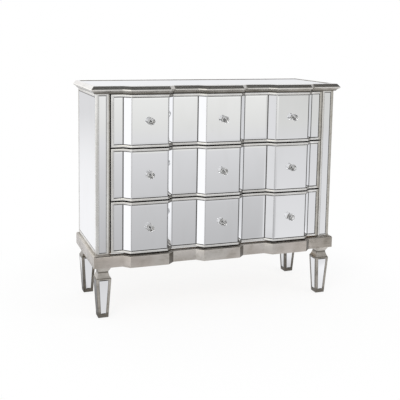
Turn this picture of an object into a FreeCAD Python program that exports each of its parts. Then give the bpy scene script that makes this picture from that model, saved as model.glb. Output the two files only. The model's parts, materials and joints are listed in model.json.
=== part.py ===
# Chest of three drawers on short tapered legs, faced all round with mirror.
# Its front steps in plan: three blocks stand ahead of the flats, joined to them by slanted cants,
# and the top moulding and the plinth follow the same line.
# Millimetres. X runs to the right of someone who faces the drawers, Y to the back, Z up.
# The origin is on the floor, in the middle of the overall width and depth.
import FreeCAD
import Part
import math
import os

os.makedirs("parts", exist_ok=True)

# Body
height = 904.0
body_width = 1010.0
body_depth = 350.0
panel_thickness = 22.0
back_thickness = 6.0
back_rebate = 10.0
stile_width = 54.0
stile_thickness = 24.0

# Stepped front
block_width = 147.0
recess_width = 102.0
cant_run = 26.0
cant_depth = 26.0
recess_proud = 7.0

# Top
top_thickness = 29.0
top_side_overhang = 20.0
top_front_overhang = 14.0
top_edge_inset = 10.5
top_under_inset = 14.0
nose_round = 2.0
cove_rise = 1.5
nose_low_share = 0.37
nose_high_share = 0.64
edge_band = 16.0

# Plinth and legs
leg_height = 205.5
plinth_height = 47.5
plinth_thickness = 22.0
plinth_side_overhang = 11.0
plinth_front_overhang = 9.5
plinth_bevel = 3.5
leg_side_inset = 40.5
leg_end_inset = 37.0
leg_top_width = 60.0
leg_flare_height = 18.5
leg_neck_width = 40.0
leg_neck_height = 5.0
leg_slope_height = 21.5
leg_slope_hollow = 1.0
leg_ledge = 1.5
shaft_top_width = 59.5
shaft_foot_width = 40.5
glide_height = 2.0
glide_width = 24.0

# Leg inlays
inlay_top_width = 36.5
inlay_foot_width = 20.0
inlay_top_margin = 5.0
inlay_foot_margin = 15.0
inlay_thickness = 3.0
inlay_set_back = 0.5

# Corner blocks and leg bolts
corner_block_width = 62.0
corner_block_height = 30.0
bolt_radius = 4.0
bolt_clearance = 0.4
bolt_into_leg = 42.0
bolt_head_across_flats = 13.0
bolt_head_height = 5.5
bolt_plate_width = 18.0
bolt_plate_thickness = 1.6

# Mirrors
mirror_thickness = 4.0
mirror_set_back = 1.0
mirror_clearance = 0.4
facet_gap = 0.4
facet_bevel_width = 9.0
facet_bevel_depth = 0.4
side_strip = 12.0
stile_strip = 11.5
stile_end_strip = 6.0
top_side_lip = 12.0
top_front_lip = 30.0
top_set_back = 1.5

# Drawers
drawer_names = ("bottom", "middle", "top")
reveal = 5.0
top_reveal = 2.5
side_reveal = 4.0
front_set_in = 15.0
front_lip = 9.0
front_edge_round = 1.0
rail_height = 26.0
rail_depth = 45.0
box_rise = 8.0
box_side_thickness = 12.0
box_end_gap = 9.0
box_kick_gap = 4.2
box_panel_thickness = 5.0
box_panel_rise = 8.0
box_groove = 5.0
box_housing = 6.0
slide_clearance = 0.3
guide_clearance = 0.5
guide_gap = 5.0
guide_height = 25.0
ledge_overlap = 3.0
stop_width = 40.0
stop_thickness = 12.0
stop_drop = 12.0

# Knobs
knob_sides = 12
knob_projection = 28.0
knob_girdle_width = 29.0
knob_girdle_height = 3.0
knob_girdle_share = 0.42
knob_table_width = 15.0
knob_foot_width = 12.0
knob_base_height = 8.0
knob_rose_width = 20.0
knob_rose_height = 1.6
screw_radius = 2.0
screw_clearance = 0.3
screw_into_base = 5.5
screw_head_across_flats = 8.0
screw_head_height = 2.5

# Overrun of cutting shapes past the faces that they cut
overrun = 10.0

# Heights and half widths that the pieces share
body_half = body_width / 2
back_y = body_depth
plinth_top = leg_height + plinth_height
body_top = height - top_thickness
drawer_half = body_half - stile_width - side_reveal
stile_inner = body_half - stile_width
panel_inner = body_half - panel_thickness
recess_y = -recess_proud
block_y = recess_y - cant_depth
block_half = block_width / 2
block_pitch = block_width + 2 * cant_run + recess_width
drawers = len(drawer_names)
pitch = (body_top - top_reveal - plinth_top) / drawers
front_height = pitch - reveal
rail_front = front_set_in + slide_clearance
rail_back = rail_front + rail_depth
opening_height = pitch - rail_height
box_height = opening_height - slide_clearance - box_kick_gap
box_outer = stile_inner - guide_gap
box_inner = box_outer - box_side_thickness
box_back = back_y - back_thickness - box_end_gap
first_ledge = plinth_top + reveal + box_rise
knob_face = block_y + mirror_set_back
middle_depth = (back_y + knob_face - knob_projection) / 2


def vector(x, y, z):
    return FreeCAD.Vector(x, y, z)


def box(x, y, z):
    """Box between three (low, high) pairs."""
    size = (x[1] - x[0], y[1] - y[0], z[1] - z[0])
    return Part.makeBox(*size, vector(x[0], y[0], z[0]))


def prism(points, z):
    """Upright prism on a plan outline of (x, y) points."""
    low, high = z
    corners = [vector(px, py, low) for px, py in points + points[:1]]
    return Part.Face(Part.makePolygon(corners)).extrude(vector(0, 0, high - low))


def stacked(rings):
    """Solid with flat faces between rings of corners, which all have the same number of corners."""
    faces = [Part.Face(Part.makePolygon(end + end[:1])) for end in (rings[0], rings[-1])]
    for low, high in zip(rings, rings[1:]):
        for k, corner in enumerate(low):
            sides = [low[k - 1], corner, high[k], high[k - 1], low[k - 1]]
            faces.append(Part.Face(Part.makePolygon(sides)))
    return Part.Solid(Part.Shell(faces)).removeSplitter()


def ring(radius, count, z):
    """Corners of a level regular outline."""
    turns = [2 * math.pi * k / count for k in range(count)]
    return [vector(radius * math.cos(turn), radius * math.sin(turn), z) for turn in turns]


def hexagon(across_flats, z):
    """Six-sided head of a bolt or a screw, about the Z axis."""
    return stacked([ring(across_flats / math.sqrt(3), 6, level) for level in z])


def both_sides(shape):
    """A piece and its mirror image on the other side of the chest: left first, then right."""
    return shape.mirror(vector(0, 0, 0), vector(1, 0, 0)), shape


def bow(start, end, rise):
    """Arc step of an outline that bows to the left of its travel by rise."""
    across = end[0] - start[0]
    up = end[1] - start[1]
    length = math.hypot(across, up)
    middle_x = (start[0] + end[0]) / 2 - rise * up / length
    middle_z = (start[1] + end[1]) / 2 + rise * across / length
    return (middle_x, middle_z), end


def section(steps):
    """Face in the XZ plane. A step is an (x, z) point, or an arc's middle and end points."""
    at = vector(steps[0][0], 0, steps[0][1])
    edges = []
    for step in steps[1:] + steps[:1]:
        if isinstance(step[0], tuple):
            middle, end = (vector(x, 0, z) for x, z in step)
            edges.append(Part.Arc(at, middle, end).toShape())
        else:
            end = vector(step[0], 0, step[1])
            edges.append(Part.makeLine(at, end))
        at = end
    return Part.Face(Part.Wire(edges))


def offset_path(points, distance):
    """Open plan path moved to the right of its travel, which is outwards, with mitred corners."""
    normals = []
    for (ax, ay), (bx, by) in zip(points, points[1:]):
        length = math.hypot(bx - ax, by - ay)
        normals.append(((by - ay) / length, (ax - bx) / length))
    moved = []
    for (x, y), (ax, ay), (bx, by) in zip(points, normals[:1] + normals, normals + normals[-1:]):
        reach = distance / (1 + ax * bx + ay * by)
        moved.append((x + reach * (ax + bx), y + reach * (ay + by)))
    return moved


def stepped_line(half_width, proud):
    """Front line from left to right, the given distance ahead of the drawer fronts."""
    points = [(-half_width, recess_y)]
    for centre in (-block_pitch, 0, block_pitch):
        points.append((centre - block_half - cant_run, recess_y))
        points.append((centre - block_half, block_y))
        points.append((centre + block_half, block_y))
        points.append((centre + block_half + cant_run, recess_y))
    points.append((half_width, recess_y))
    return offset_path(points, proud)


def wrapped_line(half_width, proud):
    """The stepped line with the two sides of the chest added, from back left to back right."""
    return [(-half_width, back_y)] + stepped_line(half_width, proud) + [(half_width, back_y)]


def mitred_run(path, i, edge, depth):
    """One straight run of an edge section along a plan path, cut to its mitres at both ends."""
    (ax, ay), (bx, by) = path[i], path[i + 1]
    length = math.hypot(bx - ax, by - ay)
    run = edge.extrude(vector(0, length + 2 * overrun, 0))
    run.translate(vector(0, -overrun, 0))
    run.rotate(vector(0, 0, 0), vector(0, 0, 1), math.degrees(math.atan2(ax - bx, by - ay)))
    run.translate(vector(ax, ay, 0))
    outer = offset_path(path, overrun)
    inner = offset_path(path, -depth)
    wedge = prism([outer[i], outer[i + 1], inner[i + 1], inner[i]], (-overrun, height + overrun))
    return run.common(wedge)


def moulded_board(path, first, last, edge, z, back):
    """Board with an edge section along part of a path. Its outline closes through the back points."""
    inner = offset_path(path, -edge_band)
    core = prism(inner[first:last + 1] + back, z)
    runs = [mitred_run(path, i, edge, edge_band) for i in range(first, last)]
    return core.multiFuse(runs).removeSplitter()


def top_pocket():
    """Ranges in X and Y of the pocket for the top mirror."""
    half = body_half + top_side_overhang - top_edge_inset - top_side_lip
    front = recess_y - top_front_overhang + top_edge_inset + top_front_lip
    return (-half, half), (front, back_y - top_side_lip)


def top_board():
    """Top with a sloping upper edge, a round nose and a cove that all step with the front."""
    path = wrapped_line(body_half + top_side_overhang, top_front_overhang)
    underside = (-top_under_inset, body_top)
    nose_low = (-nose_round, body_top + nose_low_share * top_thickness)
    nose_high = (-nose_round, body_top + nose_high_share * top_thickness)
    inside = -edge_band - overrun
    edge = section([
        (inside, body_top),
        underside,
        bow(underside, nose_low, cove_rise),
        bow(nose_low, nose_high, -nose_round),
        (-top_edge_inset, height),
        (inside, height),
    ])
    board = moulded_board(path, 0, len(path) - 1, edge, (body_top, height), [])
    x, y = top_pocket()
    return board.cut(box(x, y, (height - top_set_back - mirror_thickness, height + overrun)))


def shrunk(span, clearance):
    return span[0] + clearance, span[1] - clearance


def top_mirror():
    x, y = top_pocket()
    face = height - top_set_back
    return box(shrunk(x, mirror_clearance), shrunk(y, mirror_clearance), (face - mirror_thickness, face))


side_mirror_y = (side_strip, back_y - side_strip)
side_mirror_z = (plinth_top + side_strip, body_top - side_strip)
stile_mirror_x = (stile_inner + stile_strip, body_half - stile_strip)
stile_mirror_z = (plinth_top + stile_end_strip, body_top - stile_end_strip)
pocket_depth = mirror_thickness + mirror_set_back


def side_pocket():
    return box((body_half - pocket_depth, body_half + overrun), side_mirror_y, side_mirror_z)


def side_panel():
    """Right side panel, with a pocket for its mirror and a rebate for the back."""
    panel = box((panel_inner, body_half), (stile_thickness, back_y), (plinth_top, body_top))
    rebate = box(
        (panel_inner - overrun, panel_inner + back_rebate),
        (back_y - back_thickness, back_y + overrun),
        (plinth_top - overrun, body_top + overrun),
    )
    return panel.cut(side_pocket()).cut(rebate)


def side_mirror():
    face = body_half - mirror_set_back
    y = shrunk(side_mirror_y, mirror_clearance)
    z = shrunk(side_mirror_z, mirror_clearance)
    return box((face - mirror_thickness, face), y, z)


def stile():
    """Right front stile, with a pocket for its own strip and the start of the side pocket."""
    post = box((stile_inner, body_half), (0, stile_thickness), (plinth_top, body_top))
    pocket = box(stile_mirror_x, (-overrun, pocket_depth), stile_mirror_z)
    return post.cut(pocket).cut(side_pocket())


def stile_mirror():
    x = shrunk(stile_mirror_x, mirror_clearance)
    z = shrunk(stile_mirror_z, mirror_clearance)
    return box(x, (mirror_set_back, pocket_depth), z)


def back_panel():
    half = panel_inner + back_rebate
    return box((-half, half), (back_y - back_thickness, back_y), (plinth_top, body_top))


def shelf(back, z):
    """Board between the side panels, notched round the two stiles."""
    right = [
        (stile_inner, rail_front),
        (stile_inner, stile_thickness),
        (panel_inner, stile_thickness),
        (panel_inner, back),
    ]
    left = [(-x, y) for x, y in reversed(right)]
    return prism(right + left, z)


def ledge_z(i):
    """Height of the surface that drawer i slides on."""
    return first_ledge + i * pitch


def rail(i):
    """Rail under drawer i, level with its ledges."""
    return shelf(rail_back, (ledge_z(i) - rail_height, ledge_z(i)))


def top_rail():
    return shelf(rail_back, (ledge_z(drawers) - rail_height, body_top))


def top_back_rail():
    front = back_y - back_thickness - rail_depth
    z = (ledge_z(drawers) - rail_height, body_top)
    return box((-panel_inner, panel_inner), (front, back_y - back_thickness), z)


def guide(i):
    """Right guide beside the box of drawer i."""
    x = (box_outer + guide_clearance, panel_inner)
    return box(x, (rail_back, back_y - back_thickness), (ledge_z(i), ledge_z(i) + guide_height))


def ledge(i):
    """Right ledge under the box of drawer i, level with the rail at its front end."""
    x = (box_inner - ledge_overlap, panel_inner)
    return box(x, (rail_back, back_y - back_thickness), (ledge_z(i) - rail_height, ledge_z(i)))


def runners():
    """Right guides of all drawers, and ledges for those above the bottom board."""
    return [guide(i) for i in range(drawers)] + [ledge(i) for i in range(1, drawers)]


def drawer_stop(i):
    """Block on the back of the rail above drawer i, which its back board meets when it is open."""
    underside = ledge_z(i + 1) - rail_height
    x = (-stop_width / 2, stop_width / 2)
    rail_top = min(underside + rail_height, body_top)
    return box(x, (rail_back, rail_back + stop_thickness), (underside - stop_drop, rail_top))


def plinth_path():
    return wrapped_line(body_half + plinth_side_overhang, plinth_front_overhang)


def plinth_edge():
    """Section of the plinth boards: an upright face with a small bevel at its top."""
    inside = -plinth_thickness - overrun
    return section([
        (inside, leg_height),
        (0, leg_height),
        (0, plinth_top - plinth_bevel),
        (-plinth_bevel, plinth_top),
        (inside, plinth_top),
    ])


def plinth_inner():
    """Inside corner of the plinth's front right: its half width and the back of its front board."""
    half = body_half + plinth_side_overhang - plinth_thickness
    return half, recess_y - plinth_front_overhang + plinth_thickness


def plinth_front():
    path = plinth_path()
    half, back = plinth_inner()
    corners = [(half, back), (-half, back)]
    return moulded_board(path, 1, len(path) - 2, plinth_edge(), (leg_height, plinth_top), corners)


def plinth_side():
    """Right plinth board, mitred to the front board."""
    path = plinth_path()
    return mitred_run(path, len(path) - 2, plinth_edge(), plinth_thickness)


def plinth_back():
    half, _ = plinth_inner()
    return box((-half, half), (back_y - plinth_thickness, back_y), (leg_height, plinth_top))


def corner_block(front):
    """Right corner block at the front or the back, bored for the leg's bolt."""
    half, inner_front = plinth_inner()
    if front:
        y = (inner_front, inner_front + corner_block_width)
    else:
        y = (back_y - plinth_thickness - corner_block_width, back_y - plinth_thickness)
    block = box((half - corner_block_width, half), y, (leg_height, leg_height + corner_block_height))
    return block.cut(bolt_hole().translated(leg_place(front)))


def leg_place(front):
    """Centre of the right front or back leg on the floor."""
    x = body_half + plinth_side_overhang - leg_side_inset
    if front:
        return vector(x, recess_y - plinth_front_overhang + leg_end_inset, 0)
    return vector(x, back_y - leg_end_inset, 0)


def bolt_hole():
    low = leg_height - bolt_into_leg
    length = bolt_into_leg + corner_block_height + overrun
    return Part.makeCylinder(bolt_radius + bolt_clearance, length, vector(0, 0, low))


def leg_bolt():
    """Bolt that holds a leg to its corner block, with the square plate under its head."""
    seat = leg_height + corner_block_height
    head_seat = seat + bolt_plate_thickness
    low = leg_height - bolt_into_leg
    half = bolt_plate_width / 2
    shank = Part.makeCylinder(bolt_radius, head_seat - low, vector(0, 0, low))
    plate = box((-half, half), (-half, half), (seat, head_seat))
    head = hexagon(bolt_head_across_flats, (head_seat, head_seat + bolt_head_height))
    return shank.fuse([plate, head]).removeSplitter()


neck_top = leg_height - leg_flare_height
neck_foot = neck_top - leg_neck_height
shaft_top = neck_foot - leg_slope_height
shaft_tilt = math.atan2((shaft_top_width - shaft_foot_width) / 2, shaft_top - glide_height)


def leg_profile():
    """Half outline of the leg from foot to top: tapered shaft, ledge, hollow slope, neck and straight flare."""
    ledge = (shaft_top_width / 2 - leg_ledge, shaft_top)
    neck = (leg_neck_width / 2, neck_foot)
    return [
        (shaft_foot_width / 2, glide_height),
        (shaft_top_width / 2, shaft_top),
        ledge,
        bow(ledge, neck, leg_slope_hollow),
        (leg_neck_width / 2, neck_top),
        (leg_top_width / 2, leg_height),
        (0, leg_height),
        (0, glide_height),
    ]


def inlay(clearance, outside):
    """Tapered plate for the leg's front face, lying at that face's slope."""
    low = inlay_foot_margin + clearance
    high = shaft_top - glide_height - inlay_top_margin - clearance
    foot = inlay_foot_width / 2 - clearance
    top = inlay_top_width / 2 - clearance
    plate = section([(-foot, low), (foot, low), (top, high), (-top, high)])
    plate = plate.extrude(vector(0, inlay_thickness + inlay_set_back - outside, 0))
    plate.translate(vector(0, outside - shaft_foot_width / 2, glide_height))
    hinge = vector(0, -shaft_foot_width / 2, glide_height)
    plate.rotate(hinge, vector(1, 0, 0), math.degrees(shaft_tilt))
    return plate


def four_sides(shape):
    """A piece of the leg turned to each of its four faces."""
    turned = []
    for quarter in range(4):
        copy = shape.copy()
        copy.rotate(vector(0, 0, 0), vector(0, 0, 1), 90 * quarter)
        turned.append(copy)
    return turned


def leg():
    """Square leg, the same on all four faces: four pockets for its inlays and a hole for its bolt."""
    half = section(leg_profile()).extrude(vector(0, leg_top_width + 2 * overrun, 0))
    half.translate(vector(0, -leg_top_width / 2 - overrun, 0))
    slab = half.fuse(half.mirror(vector(0, 0, 0), vector(1, 0, 0))).removeSplitter()
    crossed = slab.copy()
    crossed.rotate(vector(0, 0, 0), vector(0, 0, 1), 90)
    solid = slab.common(crossed)
    for pocket in four_sides(inlay(0, -overrun)):
        solid = solid.cut(pocket)
    return solid.cut(bolt_hole())


def glide():
    """Low square glide under a foot."""
    half = glide_width / 2
    return box((-half, half), (-half, half), (0, glide_height))


def front_edge():
    """Section of a drawer front: an upright face with its two edges eased."""
    inside = -edge_band - overrun
    return section([
        (inside, 0),
        (-front_edge_round, 0),
        (0, front_edge_round),
        (0, front_height - front_edge_round),
        (-front_edge_round, front_height),
        (inside, front_height),
    ])


box_z = (box_rise + slide_clearance, box_rise + slide_clearance + box_height)
panel_z = (box_z[0] + box_panel_rise, box_z[0] + box_panel_rise + box_panel_thickness)
box_back_y = (box_back - box_side_thickness, box_back)
pocket_half = drawer_half - front_lip


def drawer_panel():
    """Bottom of a drawer box, which sits in grooves all round."""
    x = (-box_inner - box_groove, box_inner + box_groove)
    return box(x, (front_set_in - box_groove, box_back_y[0] + box_groove), panel_z)


def drawer_side():
    """Right side of a drawer box, housed in the front and grooved for the bottom."""
    side = box((box_inner, box_outer), (front_set_in - box_housing, box_back), box_z)
    return side.cut(drawer_panel())


def drawer_back():
    return box((-box_inner, box_inner), box_back_y, box_z).cut(drawer_panel())


def knob_places():
    """Foot of each knob on the mirror face, at the middle of each block."""
    middle = front_height / 2
    return [vector(x, knob_face, middle) for x in (-block_pitch, 0, block_pitch)]


def along_front(shape, place):
    """Turn a piece that was made upright to point out of the front, and set it at its place."""
    copy = shape.copy()
    copy.rotate(vector(0, 0, 0), vector(1, 0, 0), 90)
    copy.translate(place)
    return copy


def screw_holes():
    length = front_set_in - knob_face + 2 * overrun
    hole = Part.makeCylinder(screw_radius + screw_clearance, length, vector(0, 0, -length + overrun))
    return [along_front(hole, place) for place in knob_places()]


def drawer_front():
    """Stepped front board with a lip round its mirrors, housings for the sides and knob holes."""
    path = stepped_line(drawer_half, 0)
    corners = [(drawer_half, front_set_in), (-drawer_half, front_set_in)]
    board = moulded_board(path, 0, len(path) - 1, front_edge(), (0, front_height), corners)
    inset = stepped_line(pocket_half, 0)
    pocket = offset_path(inset, overrun) + offset_path(inset, -pocket_depth)[::-1]
    cuts = [prism(pocket, shrunk((0, front_height), front_lip)), drawer_panel()]
    cuts += both_sides(drawer_side())
    for cut in cuts + screw_holes():
        board = board.cut(cut)
    return board


def facet(i, lines, z):
    """Mirror on run i of the stepped line, mitred to its neighbours, with a wide bevel if it is a flat."""
    corners = []
    for line in lines:
        (ax, ay), (bx, by) = line[i], line[i + 1]
        gap = facet_gap / 2 / math.hypot(bx - ax, by - ay)
        corners.append([
            (ax + gap * (bx - ax), ay + gap * (by - ay)),
            (bx - gap * (bx - ax), by - gap * (by - ay)),
        ])
    face, step, back = corners
    if face[0][1] != face[1][1]:
        return prism([face[0], face[1], back[1], back[0]], z)
    (left, y), (right, _) = step
    crown = upright(shrunk((left, right), facet_bevel_width), face[0][1], shrunk(z, facet_bevel_width))
    rest = [upright((line[0][0], line[1][0]), line[0][1], z) for line in (step, back)]
    return stacked([crown] + rest)


def upright(x, y, z):
    """Corners of an upright rectangle at one depth."""
    return [vector(x[0], y, z[0]), vector(x[1], y, z[0]), vector(x[1], y, z[1]), vector(x[0], y, z[1])]


def drawer_mirrors():
    """The mirror facets of one drawer front, bored for its knobs."""
    inset = stepped_line(pocket_half - mirror_clearance, 0)
    depths = (mirror_set_back, mirror_set_back + facet_bevel_depth, pocket_depth)
    lines = [offset_path(inset, -depth) for depth in depths]
    z = shrunk((0, front_height), front_lip + mirror_clearance)
    facets = [facet(i, lines, z) for i in range(len(inset) - 1)]
    for hole in screw_holes():
        facets = [one.cut(hole) for one in facets]
    return facets


def knob_base():
    """Metal foot with as many sides as the crystal: a rose and a tapered stem, bored for the screw."""
    levels = (
        (knob_rose_width, 0),
        (knob_rose_width, knob_rose_height),
        (knob_foot_width, knob_base_height),
    )
    foot = stacked([ring(width / 2, knob_sides, z) for width, z in levels])
    return foot.cut(Part.makeCylinder(screw_radius + screw_clearance, screw_into_base + screw_clearance))


def knob_crystal():
    """Cut crystal: a crown and a pavilion of flat facets on each side of a narrow girdle."""
    girdle = knob_base_height + knob_girdle_share * (knob_projection - knob_base_height)
    levels = (
        (knob_foot_width, knob_base_height),
        (knob_girdle_width, girdle),
        (knob_girdle_width, girdle + knob_girdle_height),
        (knob_table_width, knob_projection),
    )
    return stacked([ring(width / 2, knob_sides, z) for width, z in levels])


def knob_screw():
    """Screw from inside the drawer, through the front and its mirror, into the knob's foot."""
    through = front_set_in - knob_face
    shank = Part.makeCylinder(screw_radius, through + screw_into_base, vector(0, 0, -through))
    head = hexagon(screw_head_across_flats, (-through - screw_head_height, -through))
    return shank.fuse(head).removeSplitter()


def per_knob(shape):
    return [along_front(shape, place) for place in knob_places()]


def drawer_pieces():
    """Pieces of one drawer, with the underside of its front at height zero."""
    left_side, right_side = both_sides(drawer_side())
    return {
        "front": [drawer_front()],
        "mirrors": drawer_mirrors(),
        "left_side": [left_side],
        "right_side": [right_side],
        "back": [drawer_back()],
        "bottom": [drawer_panel()],
        "knob_crystals": per_knob(knob_crystal()),
        "knob_bases": per_knob(knob_base()),
        "knob_screws": per_knob(knob_screw()),
    }


def all_legs(shape):
    """Copies of a leg's piece at the four legs: front left, front right, back left, back right."""
    places = []
    for front in (True, False):
        right = leg_place(front)
        places += [vector(-right.x, right.y, right.z), right]
    return [shape.translated(place) for place in places]


def carcass_pieces():
    left_panel, right_panel = both_sides(side_panel())
    left_mirror, right_mirror = both_sides(side_mirror())
    left_stile, right_stile = both_sides(stile())
    left_strip, right_strip = both_sides(stile_mirror())
    left_plinth, right_plinth = both_sides(plinth_side())
    left_runners, right_runners = zip(*(both_sides(strip) for strip in runners()))
    legs = all_legs(leg())
    inlays = [all_legs(plate) for plate in four_sides(inlay(mirror_clearance, inlay_set_back))]
    return {
        "top_board": [top_board()],
        "top_mirror": [top_mirror()],
        "left_side_panel": [left_panel],
        "right_side_panel": [right_panel],
        "left_side_mirror": [left_mirror],
        "right_side_mirror": [right_mirror],
        "left_stile": [left_stile],
        "right_stile": [right_stile],
        "left_stile_mirror": [left_strip],
        "right_stile_mirror": [right_strip],
        "back_panel": [back_panel()],
        "bottom_board": [shelf(back_y - back_thickness, (plinth_top, first_ledge))],
        "lower_rail": [rail(1)],
        "upper_rail": [rail(2)],
        "top_rail": [top_rail()],
        "top_back_rail": [top_back_rail()],
        "left_runners": list(left_runners),
        "right_runners": list(right_runners),
        "drawer_stops": [drawer_stop(i) for i in range(drawers)],
        "plinth_front": [plinth_front()],
        "plinth_left": [left_plinth],
        "plinth_right": [right_plinth],
        "plinth_back": [plinth_back()],
        "corner_blocks": [*both_sides(corner_block(True)), *both_sides(corner_block(False))],
        "front_left_leg": legs[0:1],
        "front_right_leg": legs[1:2],
        "back_left_leg": legs[2:3],
        "back_right_leg": legs[3:4],
        "front_leg_mirrors": [plate for plates in inlays for plate in plates[:2]],
        "back_leg_mirrors": [plate for plates in inlays for plate in plates[2:]],
        "leg_bolts": all_legs(leg_bolt()),
        "foot_glides": all_legs(glide()),
    }


def write(name, solids, rise):
    """Write one node's solids, raised, and moved so that the origin is in the middle of the depth."""
    group = Part.makeCompound([solid.translated(vector(0, -middle_depth, rise)) for solid in solids])
    group.exportStep("parts/" + name + ".step")
    volume = sum(solid.Volume for solid in group.Solids)
    state = "valid" if group.isValid() else "BROKEN"
    print(name, len(group.Solids), "solids", round(volume), "cubic mm", state)


for name, solids in carcass_pieces().items():
    write(name, solids, 0)

one_drawer = drawer_pieces()
for i, drawer in enumerate(drawer_names):
    for name, solids in one_drawer.items():
        write(drawer + "_drawer_" + name, solids, plinth_top + reveal + i * pitch)
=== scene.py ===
# %% [markdown]
# # A chest of drawers in mirror and silver leaf
# The chest stands on four short tapered legs. Its three drawers step forward in three blocks, every
# outer face carries mirror, and what shows of the wood is covered in antique silver leaf.
# The construction comes in as a fixed frame: it says where every piece is and how the drawers move.
# The lesson dresses that frame. Sizes are in metres: X runs to the right of someone who faces the
# drawers, Y to the back and Z up.

# %% Load the construction
import json
import math

import bmesh
import bpy
from mathutils import Matrix, Vector

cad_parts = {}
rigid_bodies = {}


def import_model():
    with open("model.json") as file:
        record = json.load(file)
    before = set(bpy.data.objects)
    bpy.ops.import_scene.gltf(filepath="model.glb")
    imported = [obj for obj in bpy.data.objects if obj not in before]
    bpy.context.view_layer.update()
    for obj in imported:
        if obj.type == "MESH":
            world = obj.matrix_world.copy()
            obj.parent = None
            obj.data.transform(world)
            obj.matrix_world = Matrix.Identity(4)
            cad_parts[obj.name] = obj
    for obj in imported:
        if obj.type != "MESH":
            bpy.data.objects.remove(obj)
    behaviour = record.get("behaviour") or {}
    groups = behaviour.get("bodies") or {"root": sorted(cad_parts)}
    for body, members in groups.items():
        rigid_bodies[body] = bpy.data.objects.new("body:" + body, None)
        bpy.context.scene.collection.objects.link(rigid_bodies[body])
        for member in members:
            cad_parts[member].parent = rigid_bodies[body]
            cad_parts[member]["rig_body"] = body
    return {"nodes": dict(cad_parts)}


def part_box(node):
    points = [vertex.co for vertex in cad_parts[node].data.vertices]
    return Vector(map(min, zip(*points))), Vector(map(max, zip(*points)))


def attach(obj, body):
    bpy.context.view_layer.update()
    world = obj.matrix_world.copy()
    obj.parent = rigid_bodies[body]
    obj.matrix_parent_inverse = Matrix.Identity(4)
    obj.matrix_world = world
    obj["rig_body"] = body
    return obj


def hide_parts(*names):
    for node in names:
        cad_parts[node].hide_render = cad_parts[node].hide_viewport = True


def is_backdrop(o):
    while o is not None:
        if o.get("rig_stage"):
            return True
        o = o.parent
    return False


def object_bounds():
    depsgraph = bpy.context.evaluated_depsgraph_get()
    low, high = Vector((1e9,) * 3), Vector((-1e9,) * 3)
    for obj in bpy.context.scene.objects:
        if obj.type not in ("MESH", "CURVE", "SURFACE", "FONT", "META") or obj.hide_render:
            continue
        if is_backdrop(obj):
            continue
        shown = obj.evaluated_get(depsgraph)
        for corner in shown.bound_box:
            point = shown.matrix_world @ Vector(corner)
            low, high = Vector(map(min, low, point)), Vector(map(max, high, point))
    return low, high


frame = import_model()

nodes = frame["nodes"]
construction_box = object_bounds()
drawers = ("bottom_drawer", "middle_drawer", "top_drawer")

# %% [markdown]
# ## Writing nodes as sums
# A finish is a small calculation that runs at every point of a surface. Placing its nodes by hand
# hides that calculation, so two short classes let it be written as ordinary expressions: `Graph`
# adds any node and sets its settings and sockets, and `Signal` is an output that can be added,
# multiplied or compared. The same two classes write the shape trees further down.

# %% Two classes for node trees


class Graph:
    """A node tree that is written as expressions."""

    def __init__(self, tree):
        self.tree = tree
        tree.nodes.clear()

    def node(self, kind, settings=(), sockets=(), output=0):
        """Add a node, set its settings and its sockets, and give one of its outputs."""
        made = self.tree.nodes.new(kind)
        for name, value in dict(settings).items():
            setattr(made, name, value)
        for name, value in dict(sockets).items():
            if isinstance(value, Signal):
                self.tree.links.new(value.socket, made.inputs[name])
            else:
                made.inputs[name].default_value = value
        if made.outputs:
            return Signal(self, made.outputs[output])
        return None


class Signal:
    """What a node hands on. A sum written with it adds Math nodes to its graph."""

    def __init__(self, graph, socket):
        self.graph = graph
        self.socket = socket

    def other(self, name):
        """Another output of the same node."""
        return Signal(self.graph, self.socket.node.outputs[name])

    def math(self, operation, *values):
        return self.graph.node("ShaderNodeMath", {"operation": operation}, enumerate(values))

    def __neg__(self):
        return self.math("MULTIPLY", self, -1.0)

    def __add__(self, value):
        return self.math("ADD", self, value)

    def __radd__(self, value):
        return self.math("ADD", value, self)

    def __sub__(self, value):
        return self.math("SUBTRACT", self, value)

    def __rsub__(self, value):
        return self.math("SUBTRACT", value, self)

    def __mul__(self, value):
        return self.math("MULTIPLY", self, value)

    def __rmul__(self, value):
        return self.math("MULTIPLY", value, self)

    def __truediv__(self, value):
        return self.math("DIVIDE", self, value)

    def between(self, low, high, start=0.0, end=1.0):
        """Ease from start to end while this goes from low to high."""
        sockets = {"Value": self, "From Min": low, "From Max": high, "To Min": start, "To Max": end}
        return self.graph.node("ShaderNodeMapRange", {"interpolation_type": "SMOOTHSTEP"}, sockets)

    def within(self, rise, fall, amount=1.0):
        """An amount between two eased edges, each given as a (low, high) range, and 0 outside them."""
        return self.between(*rise) * self.between(*fall, amount, 0.0)

    def toward(self, value, share):
        """Move this value the given share of the way to another."""
        return self + (value - self) * share


def mixed(factor, first, second):
    """Mix two colours, of which either may be a signal."""
    colours = [value if isinstance(value, Signal) else (*value, 1.0) for value in (first, second)]
    # A Mix node has a pair of sockets for each type of value: 6, 7 and output 2 are for colours
    sockets = {0: factor, 6: colours[0], 7: colours[1]}
    return factor.graph.node("ShaderNodeMix", {"data_type": "RGBA"}, sockets, 2)


print("node helpers ready")

# %% [markdown]
# ## The finishes
# Five kinds of surface show: mirror glass, silver leaf, cut crystal, plated metal and, once a drawer
# is open, bare wood. All of them read Object coordinates, so a pattern has one scale over the whole
# chest and stays on its piece when a drawer slides.

# %% Helpers that the finishes share


def new_finish(name):
    """An empty material with its graph and its Object coordinates."""
    material = bpy.data.materials.new(name)
    material.use_nodes = True
    graph = Graph(material.node_tree)
    return material, graph, graph.node("ShaderNodeTexCoord", output="Object")


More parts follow.
